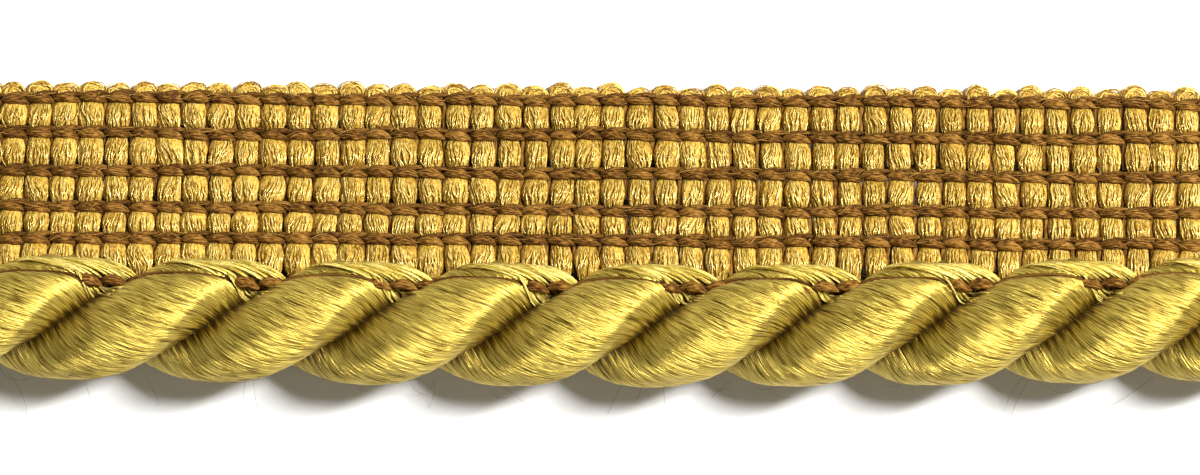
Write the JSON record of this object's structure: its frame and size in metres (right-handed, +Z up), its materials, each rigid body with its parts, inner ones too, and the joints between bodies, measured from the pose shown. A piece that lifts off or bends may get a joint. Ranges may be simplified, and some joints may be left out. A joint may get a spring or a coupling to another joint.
{
  "type": "lipped twisted cord piping",
  "caption": "Two-ply satin twisted cord bound by a chain stitch to a woven sewing lip with brown warp chains and a looped edge.",
  "frame": {"origin": "centre of the bounding box, on the plane that the trimming lies on", "axes": "+X along the cord, +Y from the cord toward the lip's looped edge, +Z up from the surface it lies on"},
  "size_m": [0.11, 0.023, 0.0094],
  "materials": {
    "satin": "lustrous gold rayon filament, laid in fine parallel fibres",
    "weft": "gold crinkled weft bundles with a soft shine",
    "warp": "matte brown chain-stitched yarn"
  },
  "bodies": {
    "root": {"cord_ply_1": "satin", "cord_ply_2": "satin", "lip": "weft", "chain_row_1": "warp", "chain_row_2": "warp", "chain_row_3": "warp", "chain_row_4": "warp", "chain_row_5": "warp", "binding_chain": "warp"}
  },
  "joints": []
}
